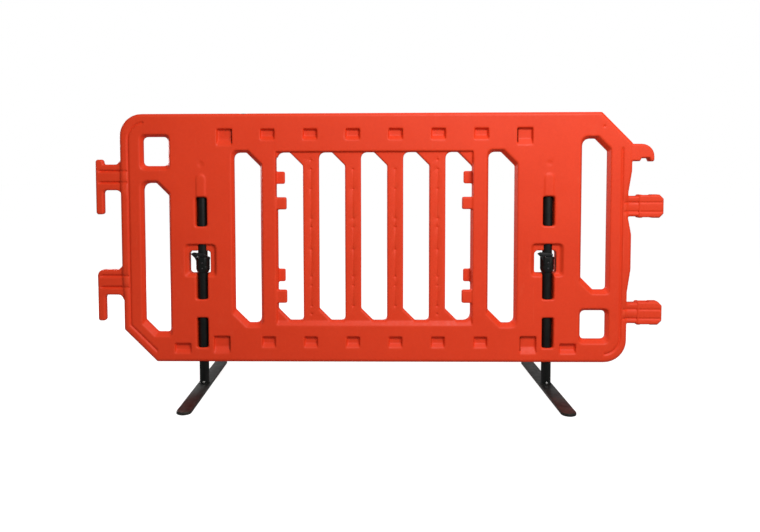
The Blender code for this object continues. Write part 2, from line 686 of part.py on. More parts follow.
def build_collar(tag, x):
    """The sleeve riveted round the post in the latch window, with the lever's ear."""
    low, high = COLLAR_Z
    bm = bmesh.new()
    add_turned(bm, ((low, POST_RADIUS + 0.0025), (low + 0.011, COLLAR_RADIUS),
                    (high - 0.002, COLLAR_RADIUS), (high, COLLAR_RADIUS - 0.0015)),
               "Z", (x, 0, 0), POST_SIDES)
    collar = solid_from(tag + "_lock_collar", bm)
    bm = bmesh.new()
    local = x - AXIS
    add_box(bm, local - 0.030, local + 0.030, -0.040, COLLAR_FLAT, low - 0.01, high + 0.01)
    combine(collar, solid_from("flat", bm), "DIFFERENCE")
    bm = bmesh.new()
    add_slab(bm, outline(local + 0.0058, local + 0.0142, high - 0.012, 0.4925,
                         0.001, 0.001, 0.003, 0.003, 2), ((-0.0188, 0), (-0.0140, 0)))
    combine(collar, solid_from("ear", bm), "UNION")
    bm = bmesh.new()
    add_box(bm, local + 0.0200, local + 0.0262, -0.0050, 0.0030, 0.4700, 0.4765)
    combine(collar, solid_from("stop", bm), "UNION")
    bm = bmesh.new()
    add_turned(bm, ((low - 0.01, 0.0181), (high + 0.02, 0.0181)), "Z", (x, 0, 0), POST_SIDES)
    combine(collar, solid_from("bore", bm), "DIFFERENCE")
    combine(collar, rivet_holes("holes", x, COLLAR_RIVET_Z, 0.0028), "DIFFERENCE")
    bm = bmesh.new()
    px, pz = LEVER_PIVOT
    add_turned(bm, ((-0.030, 0.0023), (-0.010, 0.0023)), "Y", (x + px, 0, pz), 12)
    combine(collar, solid_from("pin_hole", bm), "DIFFERENCE")
    finish(collar, (0.018, 0.018, 0.019), 0.45, 0.3, (x, 0, 0))
    for name, z in zip(("upper", "lower"), COLLAR_RIVET_Z):
        bm = bmesh.new()
        seat = COLLAR_FLAT - GAP
        add_turned(bm, ((seat - 0.0020, 0.0022), (seat - 0.0013, 0.0038), (seat, 0.0045),
                        (seat + 0.0001, 0.0024), (-0.0135, 0.0024)), "Y", (x, 0, z), 12)
        finish(solid_from(tag + "_collar_rivet_" + name, bm), BRIGHT, 0.35, 1.0, (x, 0, 0))


def lever_outline():
    """The thumb lever, measured from its pivot: a bar that spreads into a hooked wing."""
    points = arc(0, 0, 0.0062, -100, 90, 6)
    points += [(-0.020, 0.0082), (-0.0385, 0.0104), (-0.0430, 0.0090)]
    points += arc(-0.0470, 0.0044, 0.0020, 60, 220, 3)
    points += [(-0.0423, -0.0023), (-0.0374, -0.0072), (-0.0335, -0.0131), (-0.0310, -0.0190)]
    points += [(-0.0285, -0.0190), (-0.0285, -0.0060), (-0.0265, -0.0040)]
    return points


def build_lever(tag, x):
    px, pz = LEVER_PIVOT
    pivot = (x + px, 0, pz)
    y0, y1 = LEVER_Y
    bm = bmesh.new()
    shape = [(u + px + x - AXIS, v + pz) for u, v in lever_outline()]
    add_slab(bm, shape, ((y0, -0.0012), (y0 + 0.0012, 0), (y1 - 0.0005, 0), (y1, -0.0005)))
    lever = solid_from(tag + "_lock_lever", bm)
    bm = bmesh.new()
    add_turned(bm, ((-0.030, 0.0023), (-0.010, 0.0023)), "Y", pivot, 12)
    combine(lever, solid_from("pin_hole", bm), "DIFFERENCE")
    finish(lever, (0.02, 0.02, 0.02), 0.5, 0.0, pivot)

    bm = bmesh.new()
    add_turned(bm, ((y0 - 0.0016, 0.0026), (y0 - 0.0011, 0.0036), (y0 - GAP, 0.0038),
                    (y0 - 0.0002, 0.0019), (-0.0164, 0.0019)), "Y", pivot, 12)
    finish(solid_from(tag + "_lever_pin", bm), BRIGHT, 0.35, 1.0, pivot)

    low, high = COLLAR_Z[1] - 0.0040, pz - 0.0042
    coils, per_turn, sides, wire, radius = 3, 8, 4, 0.0004, 0.0014
    middle = (x + SPRING_X, (LEVER_Y[0] + LEVER_Y[1]) / 2)
    bm = bmesh.new()
    rings = []
    for i in range(coils * per_turn + 1):
        turn = 2 * math.pi * i / per_turn
        height = low + 0.0045 + (high - low - 0.0057) * i / (coils * per_turn)
        out = Vector((math.cos(turn), math.sin(turn), 0))
        ring = []
        for j in range(sides):
            around = 2 * math.pi * j / sides
            spot = Vector((*middle, height)) + out * (radius + wire * math.cos(around))
            ring.append(spot + Vector((0, 0, wire * math.sin(around))))
        rings.append(ring)
    add_loft(bm, rings)
    finish(solid_from(tag + "_lever_spring", bm), BRIGHT, 0.3, 1.0)


def main():
    for obj in list(bpy.data.objects):
        bpy.data.objects.remove(obj)
    build_panel()
    build_ports()
    for tag, side in (("left", -1), ("right", 1)):
        x = side * POST_X + AXIS
        build_post(tag, x)
        build_foot(tag, x)
        build_collar(tag, x)
        build_lever(tag, x)


main()
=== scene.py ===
"""Looks of the moulded pedestrian barricade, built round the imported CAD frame."""
import math

import bmesh
import bpy
import numpy as np
from mathutils import Matrix, Vector, noise


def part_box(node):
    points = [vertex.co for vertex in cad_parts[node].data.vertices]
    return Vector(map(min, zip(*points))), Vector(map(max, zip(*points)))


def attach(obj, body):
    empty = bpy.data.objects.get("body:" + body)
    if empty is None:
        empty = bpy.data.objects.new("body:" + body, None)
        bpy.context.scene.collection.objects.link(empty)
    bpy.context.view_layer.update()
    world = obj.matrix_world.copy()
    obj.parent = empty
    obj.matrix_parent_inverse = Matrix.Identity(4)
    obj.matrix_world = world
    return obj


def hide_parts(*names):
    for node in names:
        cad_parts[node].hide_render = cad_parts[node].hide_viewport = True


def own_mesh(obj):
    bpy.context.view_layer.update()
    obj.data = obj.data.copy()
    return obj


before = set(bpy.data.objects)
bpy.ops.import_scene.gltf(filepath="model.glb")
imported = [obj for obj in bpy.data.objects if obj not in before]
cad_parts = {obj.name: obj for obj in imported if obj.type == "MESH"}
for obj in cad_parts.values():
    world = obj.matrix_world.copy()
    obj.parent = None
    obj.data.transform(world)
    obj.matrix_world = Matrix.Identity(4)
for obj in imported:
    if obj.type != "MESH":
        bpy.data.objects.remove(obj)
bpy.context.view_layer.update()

# ---------------------------------------------------------------- driving numbers
# Lengths are in metres.  Heights are above the floor.  X values are from the middle of the legs.

FACE = 0.025                  # half thickness of the moulding
BORE = 0.0183                 # radius of the channel that a post turns in
BORE_CORE = 0.010             # anything this near the channel's axis is left alone
BORE_TOP = 0.7795             # height at which that channel ends
SLAT_PITCH = 0.1526           # from one slat's middle to the next
SLAT_DOTS = (0.798, 0.727, 0.620, 0.588, 0.507, 0.408, 0.375, 0.300)     # heights on every slat
OUTER_DOTS = (0.832, 0.270)                   # two more on the outer slats
ARMS = ((0.724, 0.818), (0.340, 0.436))       # heights of the two hook arms
TABS = ((0.620, 0.704), (0.232, 0.3175))      # heights of the two socket tabs
EDGE_CHANNEL = (0.0050, 0.0031)               # half width and depth along the panel's ends
EDGE_BEND = 0.061             # radius of that channel where it rounds a corner
END_GROOVE = (0.0058, 0.0050)                 # half width and depth on arms and tabs
ARM_GROOVES = (0.30, 0.74)    # shares of an arm's height
TAB_GROOVES = (0.27, 0.66)    # shares of a tab's height
ARM_SPAN = (-0.994, -0.898)   # X where an arm's grooves start and end
TAB_SPAN = (0.900, 1.045)     # X where a tab's grooves start and end
ARM_EDGE, ARM_SHARE = -0.930, 0.80            # beyond this the grooves are a little shallower
TAB_EDGE, TAB_SHARE = 0.950, 0.18             # beyond this they are much shallower
DOT = (0.0038, 0.0034)        # radius and depth of a dot on a slat
SEAM = (0.0022, 0.0010)       # half width and depth of the seam down a slat
SEAM_SPAN = (0.300, 0.798)    # heights between which the seam runs
DIMPLE = (0.009, 0.0018)      # radius and depth of the dimple above each post
DIMPLE_HEIGHT = 0.818
WAVE = 0.0006                 # height of the waviness on the flat faces
MOULD_END = 0.935             # beyond this the edges are rounded less
TUBE_WALL = 0.0025            # wall of a post's tube
BEAD = 0.0026                 # size of the weld at the post's base
RIVET_HEAD = 0.0022           # height of a rivet's head
COLLAR_TOP = 0.479            # top of the collar's sleeve; its ear stands higher
COLLAR_BORE = 0.0181          # radius of the collar's bore
COLLAR_BAND = (0.4455, 0.4487)                # heights of the shallow band round the collar
STOP_HEIGHTS = (0.4700, 0.4765)               # heights of the collar's side stop
EAR_ROUND = 0.0042            # radius of the collar's ear
RIVET_HOLE = 0.0028           # radius of the holes for the collar's rivets
PIN_HOLE = 0.0023             # radius of the hole for the lever's pin
PIN_SHANK = 0.0019            # radius of that pin's shank
COIL_WIRE = 0.00026           # radius of the spring's wire
COIL_TURNS = 4
MESH_STEP = 0.0023            # voxel size of the moulded skin
SKIN_FACES = 175000           # the skin is thinned to about this many triangles
FILL = 0.30                   # strength of the white surroundings on the object
FLOOR_GLOW = 0.90             # lifts the floor to the white of the backdrop
SAME_POINT = 0.00002          # CAD points this near to each other are one point

# name, place, target, width and height, power in watts
LIGHTS = (
    ("key", (1.0, -2.55, 2.5), (0.1, 0, 0.6), (1.6, 0.8), 84),
    ("right", (2.4, -2.6, 1.2), (0.5, 0, 0.5), (1.0, 1.0), 9),
    ("top", (0.1, 0.05, 2.6), (0, 0, 0.9), (2.4, 0.4), 6),
    ("back", (-2.5, 2.3, 1.4), (0.1, 0, 0.5), (1.4, 1.2), 62),
)
CAMERA_PLACE = (-0.0258, -2.9088, 0.8055)
CAMERA_TURN = (-1.2705, 3.3135, 0.1825)       # yaw, pitch and roll in degrees
CAMERA_LENS = 37.8947                         # in mm, on a sensor 36 mm wide
CAMERA_SHIFT = (0.040395, -0.069079)          # in widths of the picture

# ---------------------------------------------------------------- places, read from the frame


def middle(node):
    low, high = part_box(node)
    return (low + high) / 2


SIDES = ("left", "right")
POST = {side: middle(side + "_leg_post").x for side in SIDES}
CENTRE = (POST["left"] + POST["right"]) / 2
PANEL_LOW, PANEL_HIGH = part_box("panel")
TOP = PANEL_HIGH.z
BLOW_PIN = (CENTRE + 0.822, 0.949)            # X and Z of the small hole that the mould leaves

# ---------------------------------------------------------------- small mesh helpers


def new_object(name, mesh):
    obj = bpy.data.objects.new(name, mesh)
    bpy.context.scene.collection.objects.link(obj)
    return obj


def object_from(name, bm):
    bmesh.ops.recalc_face_normals(bm, faces=bm.faces)
    mesh = bpy.data.meshes.new(name)
    bm.to_mesh(mesh)
    bm.free()
    return new_object(name, mesh)


def applied(obj):
    """Bake an object's modifiers into its mesh."""
    bpy.context.view_layer.update()
    evaluated = obj.evaluated_get(bpy.context.evaluated_depsgraph_get())
    mesh = bpy.data.meshes.new_from_object(evaluated)
    obj.modifiers.clear()
    obj.data = mesh
    return obj


def boolean(obj, tool, operation):
    modifier = obj.modifiers.new("Boolean", "BOOLEAN")
    modifier.operation = operation
    modifier.solver = "EXACT"
    modifier.object = tool
    applied(obj)
    bpy.data.objects.remove(tool)


def bevel(obj, width, segments, angle):
    modifier = obj.modifiers.new("Bevel", "BEVEL")
    modifier.width = width
    modifier.segments = segments
    modifier.limit_method = "ANGLE"
    modifier.angle_limit = math.radians(angle)
    return applied(obj)


def smooth(obj, angle=40):
    obj.data.shade_smooth()
    obj.data.set_sharp_from_angle(angle=math.radians(angle))
    return obj


def add_rings(bm, rings, closed_path=False):
    """A skin through rings of equally many points, capped at both ends unless the path closes."""
    loops = [[bm.verts.new(point) for point in ring] for ring in rings]
    count = len(loops[0])
    pairs = list(zip(loops, loops[1:]))
    if closed_path:
        pairs.append((loops[-1], loops[0]))
    for lower, upper in pairs:
        for i in range(count):
            j = (i + 1) % count
            bm.faces.new((lower[i], lower[j], upper[j], upper[i]))
    if not closed_path:
        bm.faces.new(list(reversed(loops[0])))
        bm.faces.new(loops[-1])


def turned(name, profile, centre, axis, sides, hollow=False):
    """A turned piece: profile is a list of (distance along the axis, radius).  A hollow profile
    closes on itself, so the piece is a ring."""
    bm = bmesh.new()
    rings = []
    for along, radius in profile:
        ring = []
        for i in range(sides):
            angle = 2 * math.pi * i / sides
            u, v = radius * math.cos(angle), radius * math.sin(angle)
            local = Vector((u, v, along)) if axis == "Z" else Vector((u, along, v))
            ring.append(local + Vector(centre))
        rings.append(ring)
    add_rings(bm, rings, hollow)
    return object_from(name, bm)


def slab(name, outline, y0, y1):
    """An outline in XZ carried from y0 to y1."""
    bm = bmesh.new()
    add_rings(bm, [[(x, y, z) for x, z in outline] for y in (y0, y1)])
    return object_from(name, bm)


def arc(cx, cz, radius, start, end, steps):
    points = []
    for i in range(steps + 1):
        angle = math.radians(start + (end - start) * i / steps)
        points.append((cx + radius * math.cos(angle), cz + radius * math.sin(angle)))
    return points


def block(name, low, high):
    bm = bmesh.new()
    bmesh.ops.create_cube(bm, size=1)
    size = Vector(high) - Vector(low)
    place = Matrix.Translation((Vector(low) + Vector(high)) / 2) @ Matrix.Diagonal((*size, 1))
    bm.transform(place)
    return object_from(name, bm)


def joined(objects):
    bm = bmesh.new()
    for obj in objects:
        bm.from_mesh(obj.data)
        bpy.data.objects.remove(obj)
    mesh = bpy.data.meshes.new("joined")
    bm.to_mesh(mesh)
    bm.free()
    return new_object("joined", mesh)


def dress(obj, material, name, body, node):
    """Name a piece, give it its material and hang it on its body in place of its CAD node."""
    obj.data.materials.clear()
    obj.data.materials.append(material)
    obj.name = name
    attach(obj, body)
    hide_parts(node)


# ---------------------------------------------------------------- materials


class Nodes:
    """A short way to write a node tree."""

    def __init__(self, name):
        self.material = bpy.data.materials.new(name)
        self.material.use_nodes = True
        self.tree = self.material.node_tree
        self.shader = self.tree.nodes["Principled BSDF"]

    def add(self, kind, **settings):
        node = self.tree.nodes.new(kind)
        for key, value in settings.items():
            setattr(node, key, value)
        return node

    def link(self, source, target):
        self.tree.links.new(source, target)

    def noise(self, scale, detail, rough, stretch=(1, 1, 1)):
        place = self.add("ShaderNodeMapping")
        place.inputs["Scale"].default_value = stretch
        self.link(self.add("ShaderNodeTexCoord").outputs["Object"], place.inputs["Vector"])
        node = self.add("ShaderNodeTexNoise")
        node.inputs["Scale"].default_value = scale
        node.inputs["Detail"].default_value = detail
        node.inputs["Roughness"].default_value = rough
        self.link(place.outputs["Vector"], node.inputs["Vector"])
        return node.outputs["Fac"]

    def ramp(self, source, stops):
        node = self.add("ShaderNodeValToRGB")
        ramp = node.color_ramp
        while len(ramp.elements) < len(stops):
            ramp.elements.new(0.5)
        for element, (place, colour) in zip(ramp.elements, stops):
            element.position = place
            element.color = (*colour, 1)
        self.link(source, node.inputs["Fac"])
        return node.outputs["Color"]

    def grey(self, source, low, high, start=0.3, end=0.7):
        node = self.add("ShaderNodeMapRange")
        node.inputs["From Min"].default_value = start
        node.inputs["From Max"].default_value = end
        node.inputs["To Min"].default_value = low
        node.inputs["To Max"].default_value = high
        self.link(source, node.inputs["Value"])
        return node.outputs["Result"]

    def times(self, first, second):
        node = self.add("ShaderNodeMath", operation="MULTIPLY")
        self.link(first, node.inputs[0])
        self.link(second, node.inputs[1])
        return node.outputs["Value"]

    def mix(self, factor, first, second):
        node = self.add("ShaderNodeMix", data_type="RGBA")
        for key, value in (("Factor", factor), ("A", first), ("B", second)):
            sockets = [s for s in node.inputs if s.name == key and s.enabled]
            if isinstance(value, (int, float)):
                sockets[0].default_value = value
            elif isinstance(value, tuple):
                sockets[0].default_value = (*value, 1)
            else:
                self.link(value, sockets[0])
        return [s for s in node.outputs if s.enabled][0]

    def bump(self, layers):
        """Stacked bump layers, each (height, strength, distance)."""
        last = None
        for height, strength, distance in layers:
            node = self.add("ShaderNodeBump")
            node.inputs["Strength"].default_value = strength
            node.inputs["Distance"].default_value = distance
            self.link(height, node.inputs["Height"])
            if last is not None:
                self.link(last, node.inputs["Normal"])
            last = node.outputs["Normal"]
        self.link(last, self.shader.inputs["Normal"])

    def set(self, **values):
        for key, value in values.items():
            socket = self.shader.inputs[key.replace("_", " ")]
            if hasattr(value, "links"):
                self.link(value, socket)
            else:
                socket.default_value = (*value, 1) if isinstance(value, tuple) else value
        return self.material


def edges_of(nodes, low, high):
    """1 on the outer edges of a piece, 0 elsewhere."""
    point = nodes.add("ShaderNodeNewGeometry").outputs["Pointiness"]
    return nodes.grey(point, 0, 1, low, high)


def moulded_plastic():
    n = Nodes("orange_polyethylene")
    cloudy = n.ramp(n.noise(3.0, 4, 0.55),
                    ((0.25, (0.76, 0.044, 0.009)), (0.75, (0.84, 0.053, 0.012))))
    fine = n.ramp(n.noise(140, 5, 0.6),
                  ((0.35, (0.60, 0.030, 0.007)), (0.70, (0.92, 0.072, 0.018))))
    speck = n.mix(0.10, cloudy, fine)
    scuff = n.grey(n.noise(26, 8, 0.72, (1, 1, 0.35)), 0, 0.22, 0.60, 0.72)
    scratch = n.grey(n.noise(150, 5, 0.6, (1, 1, 0.04)), 0, 0.25, 0.66, 0.72)
    pale = n.mix(scratch, n.mix(scuff, speck, (0.84, 0.095, 0.035)), (0.86, 0.13, 0.060))
    worn = n.times(edges_of(n, 0.505, 0.58), n.grey(n.noise(34, 5, 0.65), 0, 0.5, 0.45, 0.62))
    colour = n.mix(worn, pale, (0.88, 0.12, 0.045))
    n.bump(((n.noise(900, 2, 0.5), 0.10, 0.0006), (n.noise(95, 4, 0.6), 0.10, 0.0012),
            (n.noise(9, 3, 0.5), 0.14, 0.006), (parting_line(n), 0.8, 0.0006)))
    rough = n.grey(n.noise(60, 5, 0.6), 0.43, 0.57)
    return n.set(Base_Color=colour, Roughness=rough, Specular_IOR_Level=0.26,
                 Subsurface_Weight=0.03, Subsurface_Scale=0.010)


def parting_line(n):
    """The thin ridge where the two mould halves met, halfway through the thickness."""
    split = n.add("ShaderNodeSeparateXYZ")
    n.link(n.add("ShaderNodeTexCoord").outputs["Object"], split.inputs["Vector"])
    away = n.add("ShaderNodeMath", operation="ABSOLUTE")
    n.link(split.outputs["Y"], away.inputs[0])
    return n.grey(away.outputs["Value"], 1, 0, 0.0004, 0.0013)


def coated_steel():
    n = Nodes("black_powder_coat")
    mottled = n.ramp(n.noise(40, 5, 0.6),
                     ((0.3, (0.0040, 0.0048, 0.0044)), (0.7, (0.0085, 0.0098, 0.0090))))
    chips = n.times(n.grey(n.noise(170, 6, 0.7), 0, 1, 0.66, 0.70), edges_of(n, 0.50, 0.60))
    colour = n.mix(chips, mottled, (0.16, 0.15, 0.14))
    n.bump(((n.noise(700, 3, 0.5), 0.35, 0.0004), (n.noise(60, 3, 0.5), 0.10, 0.001)))
    return n.set(Base_Color=colour, Roughness=n.grey(n.noise(50, 5, 0.6), 0.34, 0.50),
                 Specular_IOR_Level=0.20)


def foot_steel():
    n = Nodes("worn_foot_coat")
    base = n.ramp(n.noise(24, 6, 0.65),
                  ((0.3, (0.0060, 0.0064, 0.0062)), (0.7, (0.0150, 0.0146, 0.0130))))
    dust = n.grey(n.noise(6, 5, 0.6, (1, 3, 1)), 0, 0.55, 0.48, 0.66)
    dusty = n.mix(dust, base, (0.034, 0.031, 0.025))
    scratch = n.grey(n.noise(120, 6, 0.7, (1, 0.08, 1)), 0, 0.5, 0.60, 0.68)
    colour = n.mix(scratch, dusty, (0.070, 0.066, 0.058))
    n.bump(((n.noise(500, 3, 0.5), 0.3, 0.0004), (n.noise(110, 4, 0.6, (1, 0.2, 1)), 0.15, 0.0006)))
    return n.set(Base_Color=colour, Roughness=n.grey(n.noise(40, 5, 0.6), 0.32, 0.48),
                 Specular_IOR_Level=0.30)


def zinc():
    n = Nodes("zinc_plate")
    colour = n.ramp(n.noise(260, 4, 0.6), ((0.3, (0.42, 0.42, 0.41)), (0.7, (0.62, 0.61, 0.58))))
    n.bump(((n.noise(900, 2, 0.5), 0.2, 0.0002),))
    return n.set(Base_Color=colour, Roughness=n.grey(n.noise(300, 3, 0.5), 0.24, 0.42), Metallic=1.0)


def blacked_steel():
    n = Nodes("blacked_rivet")
    colour = n.ramp(n.noise(300, 4, 0.6), ((0.3, (0.020, 0.019, 0.021)), (0.7, (0.050, 0.047, 0.049))))
    n.bump(((n.noise(900, 2, 0.5), 0.25, 0.0002),))
    return n.set(Base_Color=colour, Roughness=n.grey(n.noise(300, 3, 0.5), 0.30, 0.45), Metallic=0.8)


def black_moulding():
    n = Nodes("black_moulding")
    colour = n.ramp(n.noise(80, 5, 0.6),
                    ((0.3, (0.0045, 0.0047, 0.0050)), (0.7, (0.0105, 0.0108, 0.0112))))
    n.bump(((n.noise(800, 2, 0.5), 0.25, 0.0003),))
    return n.set(Base_Color=colour, Roughness=n.grey(n.noise(90, 4, 0.6), 0.42, 0.58),
                 Specular_IOR_Level=0.32)


def seal_rubber():
    n = Nodes("seal_rubber")
    colour = n.ramp(n.noise(120, 4, 0.6), ((0.3, (0.010, 0.010, 0.010)), (0.7, (0.020, 0.019, 0.018))))
    n.bump(((n.noise(600, 2, 0.5), 0.2, 0.0003),))
    return n.set(Base_Color=colour, Roughness=n.grey(n.noise(90, 4, 0.6), 0.70, 0.85))


# ---------------------------------------------------------------- the moulded panel


def outer_shell_of_panel():
    """A copy of the CAD panel whose three ports are plugged, without its inner hollow."""
    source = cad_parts["panel"]
    bm = bmesh.new()
    bm.from_mesh(source.data)
    bmesh.ops.remove_doubles(bm, verts=bm.verts, dist=SAME_POINT)
    shell = object_from("panel_skin", bm)
    fill, drain = middle("fill_cap"), middle("drain_plug")
    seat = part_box("fill_cap_seal")[0].z
    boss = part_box("drain_plug_seal")[0].y
    for profile, centre, axis in (
            (((seat - 0.016, 0.0155), (seat + 0.0006, 0.0155)), (fill.x, 0, 0), "Z"),
            (((boss - 0.012, 0.0130), (boss + 0.0004, 0.0130)), (drain.x, 0, drain.z), "Y"),
            (((-0.0175, 0.0046), (-0.0110, 0.0046)), (BLOW_PIN[0], 0, BLOW_PIN[1]), "Y")):
        boolean(shell, turned("plug", profile, centre, axis, 20), "UNION")
    bm = bmesh.new()
    bm.from_mesh(shell.data)
    left = set(bm.faces)
    islands = []
    while left:
        stack = [left.pop()]
        island = []
        while stack:
            face = stack.pop()
            island.append(face)
            for edge in face.edges:
                for other in edge.link_faces:
                    if other in left:
                        left.remove(other)
                        stack.append(other)
        islands.append(island)
    islands.sort(key=len)
    wide = [max(v.co.x for f in i for v in f.verts) - min(v.co.x for f in i for v in f.verts)
            for i in islands]
    keep = wide.index(max(wide))
    inner = [face for i, island in enumerate(islands) if i != keep for face in island]
    bmesh.ops.delete(bm, geom=inner, context="FACES")
    bm.to_mesh(shell.data)
    bm.free()
    return shell


def distance_to_path(x, z, path):
    """Distance of many points from a polyline in the XZ plane."""
    best = np.full(x.shape, 9.0)
    for (ax, az), (bx, bz) in zip(path, path[1:]):
        dx, dz = bx - ax, bz - az
        t = np.clip(((x - ax) * dx + (z - az) * dz) / (dx * dx + dz * dz), 0, 1)
        best = np.minimum(best, np.hypot(x - ax - t * dx, z - az - t * dz))
    return best


def dent(gap, size, deep, fullness):
    """Depth of a dent at a distance from its middle.  Fullness over 1 gives it a flat bottom."""
    return deep * np.clip(fullness - gap / size, 0, 1)


def press_relief(shell):
    """Fine relief that the mould leaves, pressed into both faces of the skin, a slight waviness
    on the flat faces, and true round channels for the posts."""
    mesh = shell.data
    count = len(mesh.vertices)
    co = np.empty(count * 3)
    mesh.vertices.foreach_get("co", co)
    co = co.reshape(-1, 3)
    normal = np.empty(count * 3)
    mesh.vertex_normals.foreach_get("vector", normal)
    normal = normal.reshape(-1, 3)
    x, y, z = co[:, 0] - CENTRE, co[:, 1], co[:, 2]
    facing = np.clip((np.abs(normal[:, 1]) - 0.5) / 0.3, 0, 1)
    depth = np.zeros(count)

    for path in edge_paths():
        depth = np.maximum(depth, dent(distance_to_path(x, z, path), *EDGE_CHANNEL, 1))
    share = np.where(x > TAB_EDGE, TAB_SHARE, np.where(x < ARM_EDGE, ARM_SHARE, 1.0))
    for path in end_paths():
        depth = np.maximum(depth, dent(distance_to_path(x, z, path), *END_GROOVE, 1) * share)
    for px in slat_centres():
        rows = SLAT_DOTS if abs(px) < SLAT_PITCH else SLAT_DOTS + OUTER_DOTS
        for pz in rows:
            gap = np.hypot(x - px, z - pz)
            depth = np.maximum(depth, dent(gap, *DOT, 1.35))
        gap = distance_to_path(x, z, [(px, height) for height in SEAM_SPAN])
        depth = np.maximum(depth, dent(gap, *SEAM, 1.3))
    for side in SIDES:
        gap = np.hypot(x - (POST[side] - CENTRE), z - DIMPLE_HEIGHT)
        depth = np.maximum(depth, dent(gap, *DIMPLE, 1.5))
    co[:, 1] -= np.sign(y) * depth * facing
    wave = np.array([noise.noise((a * 5, b * 9, c * 5)) for a, b, c in co])
    co[:, 1] += np.sign(y) * wave * WAVE * facing * (depth < 1e-6)
    for side in SIDES:
        dx, dy = co[:, 0] - POST[side], co[:, 1]
        away = np.hypot(dx, dy)
        inside = (away < BORE) & (away > BORE_CORE) & (co[:, 2] < BORE_TOP)
        push = np.where(inside, BORE / np.maximum(away, 1e-6), 1)
        co[:, 0] = POST[side] + dx * push
        co[:, 1] = dy * push
    low, high = np.array(PANEL_LOW), np.array(PANEL_HIGH)
    co = np.clip(co, low, high)
    mesh.vertices.foreach_set("co", co.ravel())
    mesh.update()


def slat_centres():
    return [(i - 1.5) * SLAT_PITCH for i in range(4)]


def edge_paths():
    """The shallow channels that follow the panel's ends."""
    x0, x1 = -0.892, 0.889
    z0, z1 = 0.124, 0.969
    left = arc(x0 + EDGE_BEND, z1 - EDGE_BEND, EDGE_BEND, 95, 180, 8)
    left += [(x0, z0 + 0.106), (x0 + 0.096, z0 + 0.010)]
    right = [(x1, 0.870)] + arc(x1 - EDGE_BEND, z0 + EDGE_BEND, EDGE_BEND, 0, -85, 8)
    return left, right


def end_paths():
    """Two level grooves on every hook arm and socket tab."""
    paths = []
    for pieces, parts, span in ((ARMS, ARM_GROOVES, ARM_SPAN), (TABS, TAB_GROOVES, TAB_SPAN)):
        for low, high in pieces:
            for part in parts:
                height = low + (high - low) * part
                paths.append([(end, height) for end in span])
    return paths


def soften(shell):
    """Round the mould's edges, less on the hooks and tabs than on the panel itself."""
    count = len(shell.data.vertices)
    co = np.empty(count * 3)
    shell.data.vertices.foreach_get("co", co)
    across = np.abs(co.reshape(-1, 3)[:, 0] - CENTRE)
    group = shell.vertex_groups.new(name="soft")
    group.add(np.nonzero(across <= MOULD_END)[0].tolist(), 1.0, "REPLACE")
    group.add(np.nonzero(across > MOULD_END)[0].tolist(), 0.2, "REPLACE")
    modifier = shell.modifiers.new("Smooth", "SMOOTH")
    modifier.vertex_group = "soft"
    modifier.factor = 0.5
    modifier.iterations = 7
    applied(shell)
    shell.vertex_groups.clear()


def build_panel():
    shell = outer_shell_of_panel()
    remesh = shell.modifiers.new("Remesh", "REMESH")
    remesh.mode = "VOXEL"
    remesh.voxel_size = MESH_STEP
    applied(shell)
    soften(shell)
    press_relief(shell)
    triangles = 2 * len(shell.data.polygons)
    thin = shell.modifiers.new("Decimate", "DECIMATE")
    thin.ratio = min(1, SKIN_FACES / triangles)
    applied(shell)
    shell.data.shade_smooth()
    dress(shell, moulded_plastic(), "moulded_panel", "panel_body", "panel")


# ---------------------------------------------------------------- legs, latches and ports


def refined(node, width, segments, angle):
    """A copy of a CAD node with its edges broken."""
    bm = bmesh.new()
    bm.from_mesh(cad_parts[node].data)
    bmesh.ops.remove_doubles(bm, verts=bm.verts, dist=SAME_POINT)
    bmesh.ops.dissolve_limit(bm, angle_limit=math.radians(1), verts=bm.verts, edges=bm.edges)
    copy = object_from(node + "_copy", bm)
    return smooth(bevel(copy, width, segments, angle), 40)


def round_ends(z0, z1, radius, edge):
    """A turned profile with rounded ends."""
    steps = 3
    lower = [(z0 + edge - edge * math.cos(a), radius - edge + edge * math.sin(a))
             for a in (math.pi / 2 * i / steps for i in range(steps + 1))]
    upper = [(z0 + z1 - z, r) for z, r in reversed(lower)]
    return lower + upper


def dome(seat, top, radius, steps=6):
    """A snap-rivet head's profile, from its rim at seat to its crown at top."""
    points = [(seat, radius)]
    for i in range(steps + 1):
        angle = math.pi / 2 * i / steps
        points.append((seat + (top - seat) * (0.2 + 0.8 * math.sin(angle)),
                       max(radius * math.cos(angle), radius * 0.06)))
    return points


def weld_bead(x, height, radius):
    """The rippled bead where the post stands on its foot."""
    bm = bmesh.new()
    rings = []
    count, sides = 180, 8
    for i in range(count):
        turn = 2 * math.pi * i / count
        uneven = noise.noise((3 * math.cos(turn), 3 * math.sin(turn), x))
        ripple = 1 + 0.13 * math.cos(26 * turn) + 0.10 * uneven
        ring = []
        for j in range(sides):
            around = 2 * math.pi * j / sides
            reach = radius + BEAD * 0.25 + BEAD * 0.75 * ripple * math.cos(around)
            rise = height + BEAD * 0.62 + BEAD * 0.6 * ripple * math.sin(around)
            ring.append((x + reach * math.cos(turn), reach * math.sin(turn), rise))
        rings.append(ring)
    add_rings(bm, rings, True)
    return object_from("bead", bm)


